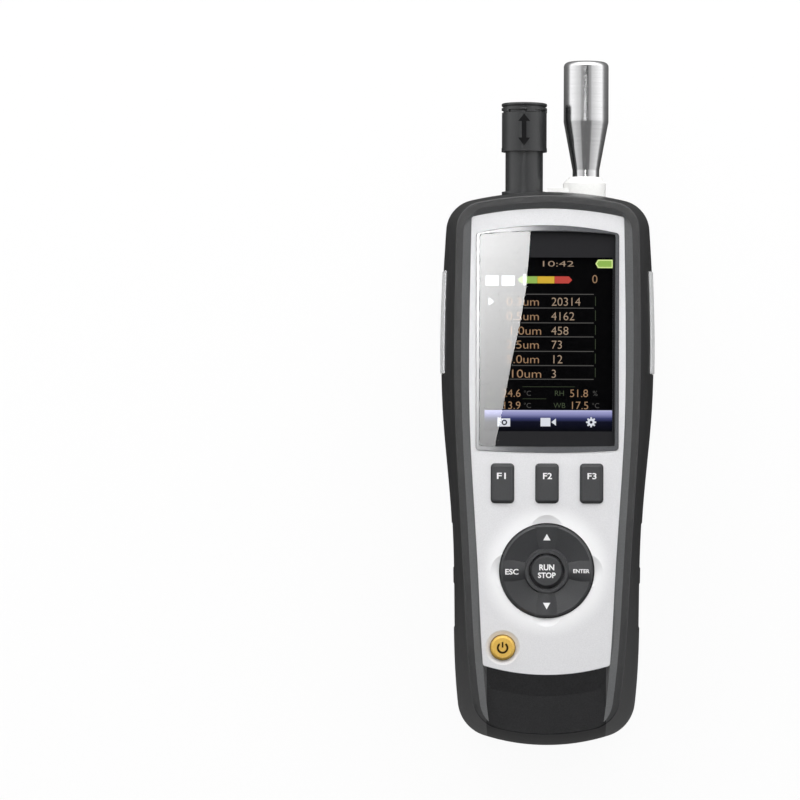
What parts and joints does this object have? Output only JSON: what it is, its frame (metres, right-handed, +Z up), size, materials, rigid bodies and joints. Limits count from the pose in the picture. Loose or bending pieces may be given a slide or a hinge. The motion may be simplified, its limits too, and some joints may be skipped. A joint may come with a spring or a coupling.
{
  "type": "airborne particle counter",
  "caption": "Handheld particle counter with a colour display, keys, a funnel nozzle that draws in air and a sleeved temperature and humidity probe.",
  "frame": {"origin": "centre of the overall box on the plane that the flat back rests on", "axes": "+Z up through the display, +Y towards the nozzle and probe, +X to the right of the display"},
  "size_m": [0.0754, 0.2397, 0.057],
  "materials": {
    "rubber": "fine-grained matt black skin",
    "cover": "satin mid-grey moulded plastic",
    "silver": "satin silver plate",
    "bezel": "satin dark grey",
    "lens": "clear window with a dark border",
    "screen": "lit colour display",
    "key": "satin dark grey",
    "gold_key": "gold-yellow",
    "silicone": "grey silicone",
    "board": "green solder mask",
    "screw": "zinc plated",
    "steel": "turned stainless",
    "white": "white moulded",
    "door": "light silver grey",
    "probe": "satin dark grey",
    "brass": "turned",
    "block": "machined, black inside",
    "tube": "clear grey silicone",
    "inner": "plain black",
    "battery": "blue shrink sleeve"
  },
  "bodies": {
    "housing": {"battery_hatch": "inner", "battery_pack": "battery", "camera_module": "inner", "camera_window": "lens", "card_socket": "screw", "climate_sensor": "board", "dc_jack": "inner", "detector_board": "board", "display_bezel": "bezel", "display_lens": "lens", "exhaust_filter": "white", "exhaust_tube": "tube", "faceplate": "silver", "front_cover": "cover", "front_grip": "rubber", "hatch_screw": "screw", "housing_screws": "screw", "inlet_collar": "white", "inlet_ring": "silicone", "inlet_spigot": "steel", "key_board": "board", "key_board_screws": "screw", "key_mat": "silicone", "laser_module": "brass", "lcd_frame": "inner", "lcd_panel": "screen", "left_hinge_pin": "steel", "main_board": "board", "main_board_screws": "screw", "nav_post": "inner", "pump_head": "inner", "pump_motor": "steel", "rear_cover": "cover", "rear_grip": "rubber", "right_hinge_pin": "steel", "sample_tube": "tube", "sensing_block": "block", "sensor_cap": "probe", "sensor_post": "probe", "speaker": "inner", "tripod_insert": "brass", "usb_socket": "screw"},
    "function_1": {"function_key_1": "key"},
    "function_2": {"function_key_2": "key"},
    "function_3": {"function_key_3": "key"},
    "run_button": {"run_key": "key"},
    "power_button": {"power_key": "gold_key"},
    "nav_carrier": {"nav_gimbal": "inner"},
    "nav_pad": {"nav_ring": "key"},
    "nozzle": {"sampling_nozzle": "steel"},
    "sleeve": {"sensor_sleeve": "probe"},
    "left_door": {"left_port_door": "door"},
    "right_door": {"right_port_door": "door"}
  },
  "joints": [
    {"name": "function_1_press", "type": "slide", "parent": "housing", "child": "function_1", "axis": [0, 0, -1], "range_m": [0, 0.0008], "stiffness_N_per_m": 900},
    {"name": "function_2_press", "type": "slide", "parent": "housing", "child": "function_2", "axis": [0, 0, -1], "range_m": [0, 0.0008], "stiffness_N_per_m": 900},
    {"name": "function_3_press", "type": "slide", "parent": "housing", "child": "function_3", "axis": [0, 0, -1], "range_m": [0, 0.0008], "stiffness_N_per_m": 900},
    {"name": "run_press", "type": "slide", "parent": "housing", "child": "run_button", "axis": [0, 0, -1], "range_m": [0, 0.0008], "stiffness_N_per_m": 900},
    {"name": "power_press", "type": "slide", "parent": "housing", "child": "power_button", "axis": [0, 0, -1], "range_m": [0, 0.0008], "stiffness_N_per_m": 900},
    {"name": "nav_rock_up_down", "type": "hinge", "parent": "housing", "child": "nav_carrier", "pos_m": [0, -0.05755, 0.0526], "axis": [1, 0, 0], "range_deg": [-2, 2], "stiffness_Nm_per_rad": 0.6},
    {"name": "nav_rock_left_right", "type": "hinge", "parent": "nav_carrier", "child": "nav_pad", "pos_m": [0, -0.05755, 0.0526], "axis": [0, 1, 0], "range_deg": [-2, 2], "stiffness_Nm_per_rad": 0.6},
    {"name": "nozzle_pull", "type": "slide", "parent": "housing", "child": "nozzle", "axis": [0, 1, 0], "range_m": [0, 0.012]},
    {"name": "sleeve_slide", "type": "slide", "parent": "housing", "child": "sleeve", "axis": [0, -1, 0], "range_m": [0, 0.0138]},
    {"name": "left_door_swing", "type": "hinge", "parent": "housing", "child": "left_door", "pos_m": [-0.0364, 0.0281, 0.0162], "axis": [0, -1, 0], "range_deg": [0, 85]},
    {"name": "right_door_swing", "type": "hinge", "parent": "housing", "child": "right_door", "pos_m": [0.0364, 0.0281, 0.0162], "axis": [0, 1, 0], "range_deg": [0, 85]}
  ]
}
